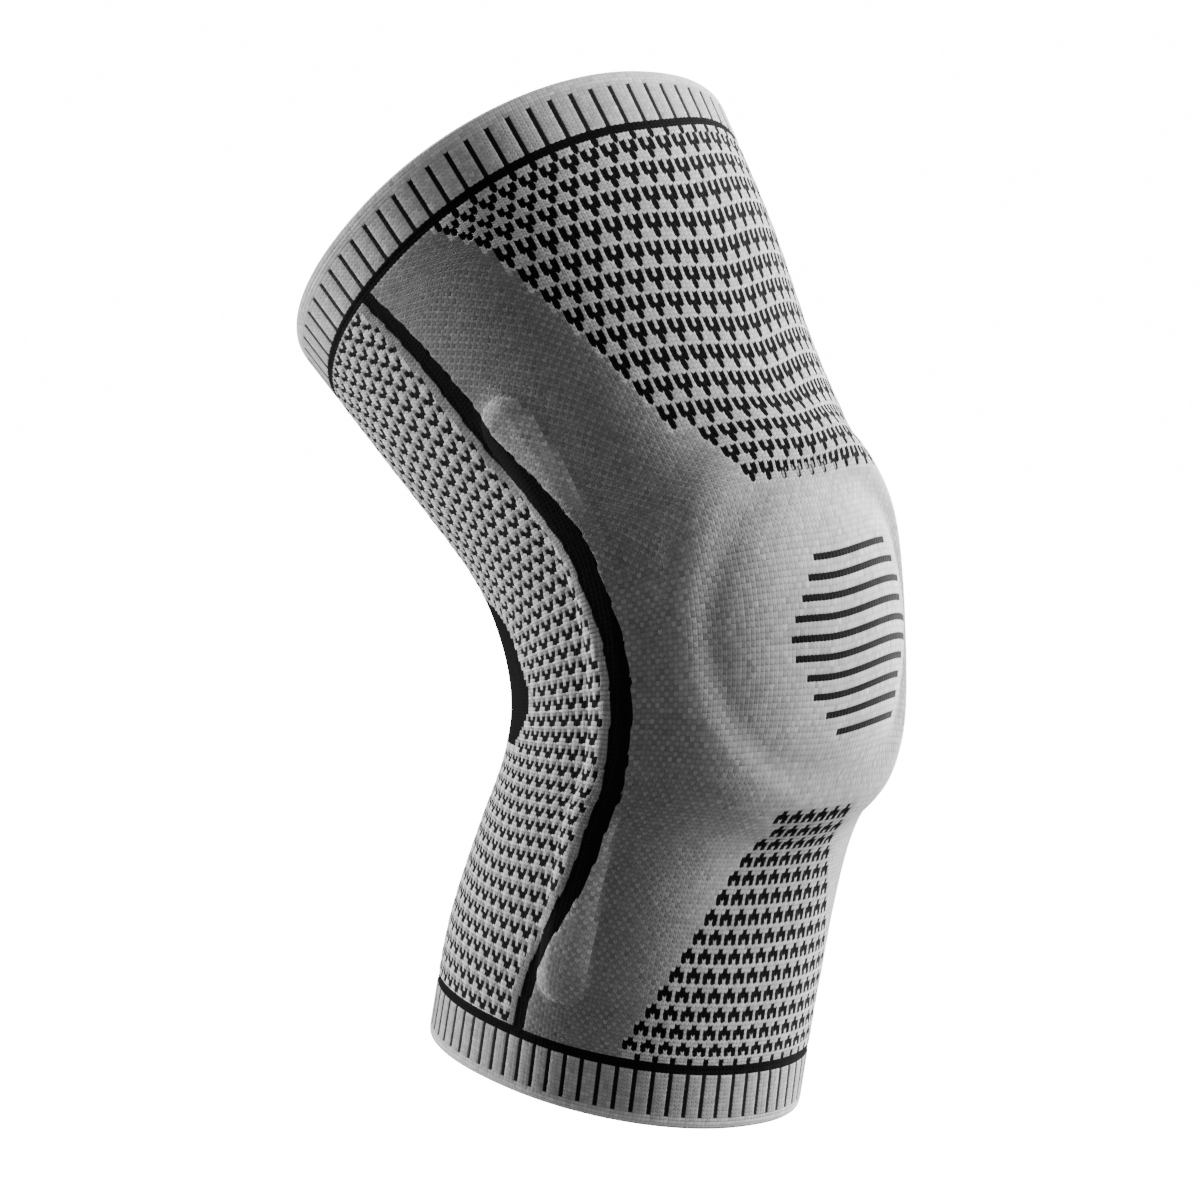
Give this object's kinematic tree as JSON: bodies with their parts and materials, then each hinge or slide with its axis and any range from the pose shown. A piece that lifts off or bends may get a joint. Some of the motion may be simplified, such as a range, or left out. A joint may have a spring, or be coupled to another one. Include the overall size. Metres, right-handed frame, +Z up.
{
  "type": "knee sleeve",
  "caption": "Pull-on knitted knee sleeve, bent as worn, with patterned front panels, ribbed mesh sides, side bands, rolled cuffs, a pad ring round the kneecap and side stays.",
  "frame": {"origin": "middle of the knee inside the hollow, where the thigh and shank lines meet", "axes": "+Z up the leg, -Y to the front with the kneecap, +X to the wearer's left"},
  "size_m": [0.1418, 0.1985, 0.316],
  "materials": {
    "light_knit": "matte knit",
    "dark_knit": "matte mesh knit",
    "black_yarn": "matte knit",
    "cuff_knit": "matte ribbed knit",
    "pad_gel": "soft satin",
    "stay_plastic": "matte"
  },
  "bodies": {
    "root": {"upper_cuff": "cuff_knit", "upper_trim": "black_yarn", "thigh_panel": "light_knit", "knee_panel": "dark_knit", "shin_panel": "light_knit", "side_band_left": "black_yarn", "side_band_right": "black_yarn", "back_panel": "light_knit", "popliteal_panel": "dark_knit", "lower_trim": "black_yarn", "lower_cuff": "cuff_knit", "patella_ring": "pad_gel", "side_stay_left": "stay_plastic", "side_stay_right": "stay_plastic"}
  },
  "joints": []
}
